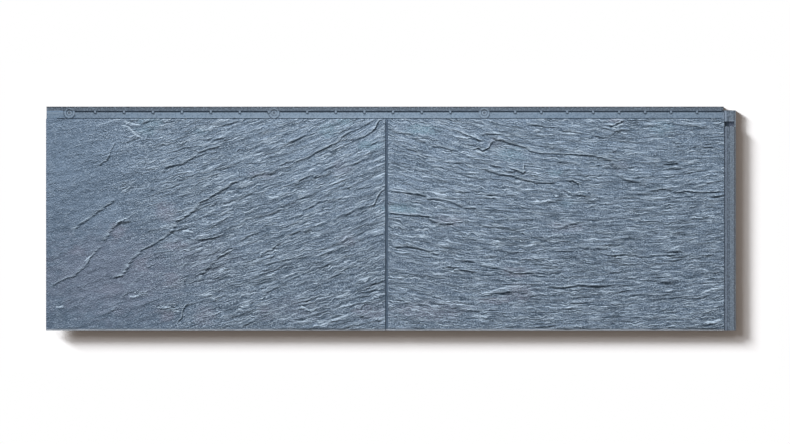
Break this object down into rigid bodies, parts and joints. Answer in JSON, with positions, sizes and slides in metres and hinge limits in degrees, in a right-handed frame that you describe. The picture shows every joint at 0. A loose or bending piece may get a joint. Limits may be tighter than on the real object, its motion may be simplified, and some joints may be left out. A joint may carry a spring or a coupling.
{
  "type": "fibreglass facade panel",
  "caption": "Moulded glass-fibre facade panel with a riven slate face split by a joint, a fixing flange along the top and a lap flange along one side.",
  "frame": {"origin": "centre of the panel's outline, on the plane of the wall behind it", "axes": "+X along the course towards the lap flange, +Y up the wall towards the fixing flange, +Z out of the wall through the slate face"},
  "size_m": [1.115, 0.362, 0.0173],
  "materials": {
    "moulded_slate": "satin"
  },
  "bodies": {
    "root": {"facade_panel": "moulded_slate"}
  },
  "joints": []
}
